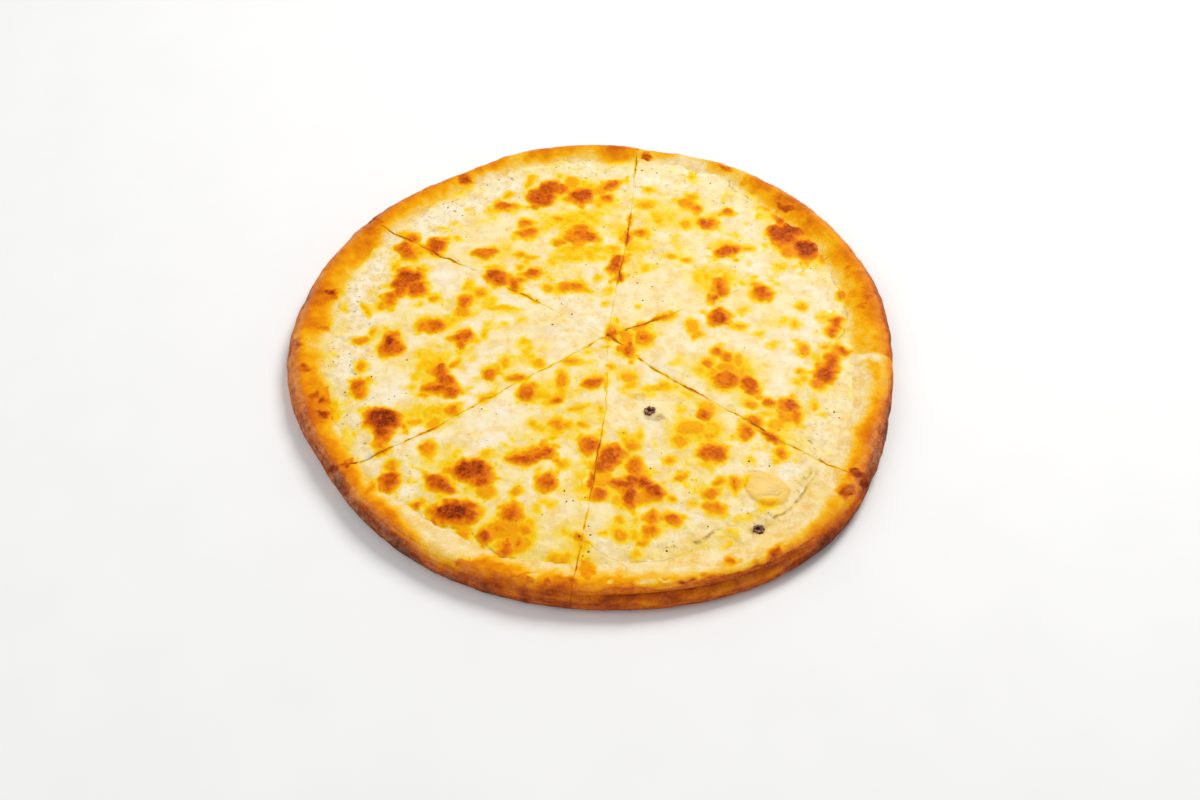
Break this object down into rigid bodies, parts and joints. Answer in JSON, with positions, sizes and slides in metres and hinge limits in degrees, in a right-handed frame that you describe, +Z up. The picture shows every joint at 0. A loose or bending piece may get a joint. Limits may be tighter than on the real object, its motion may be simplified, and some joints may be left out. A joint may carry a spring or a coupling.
{
  "type": "pizza",
  "caption": "Round white cheese pizza with a browned raised rim and blistered melted cheese, cut into slices that still lie together as a whole.",
  "frame": {"origin": "under the middle of the pizza's bounding box, on the surface that it rests on", "axes": "+Z up; +Y from the front, where the rim is folded, to the back; +X to the right as seen from the front"},
  "size_m": [0.2973, 0.2975, 0.0134],
  "materials": {
    "baked_crust": "oven-baked wheat dough: cream where the topping ends, golden orange over the rim, toasted brown and dusted with flour down the side",
    "melted_cheese": "melted white cheese in cream: satin, with pools of yellow oil and blisters toasted orange to dark brown"
  },
  "bodies": {
    "root": {"crust_1": "baked_crust", "crust_2": "baked_crust", "crust_3": "baked_crust", "crust_4": "baked_crust", "crust_5": "baked_crust", "crust_6": "baked_crust", "cheese_1": "melted_cheese", "cheese_2": "melted_cheese", "cheese_3": "melted_cheese", "cheese_4": "melted_cheese", "cheese_5": "melted_cheese", "cheese_6": "melted_cheese"}
  },
  "joints": []
}
